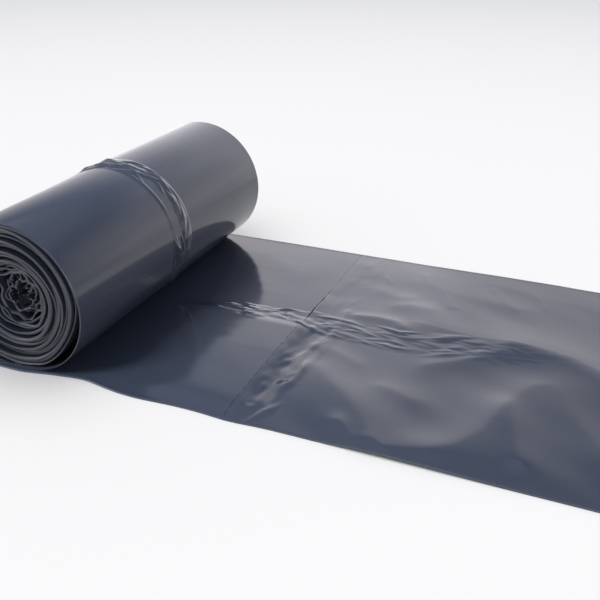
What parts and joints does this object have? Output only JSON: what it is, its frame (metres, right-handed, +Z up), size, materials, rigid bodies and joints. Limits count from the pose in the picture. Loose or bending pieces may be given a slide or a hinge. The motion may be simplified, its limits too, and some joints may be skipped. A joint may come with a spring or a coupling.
{
  "type": "bin bag roll",
  "caption": "Coreless roll of gathered dark polythene bin bags lying on its side, with the first bag pulled out flat past a perforation",
  "frame": {"origin": "on the floor, under the roll's axis, at the middle of the film's width", "axes": "+X runs along the pulled-out film away from the roll, +Y along the roll's axis to its far end, +Z up"},
  "size_m": [0.7929, 0.25, 0.1008],
  "materials": {
    "film": "glossy dark slate-grey polythene film, crinkled"
  },
  "bodies": {
    "root": {"bag_roll": "film"}
  },
  "joints": []
}
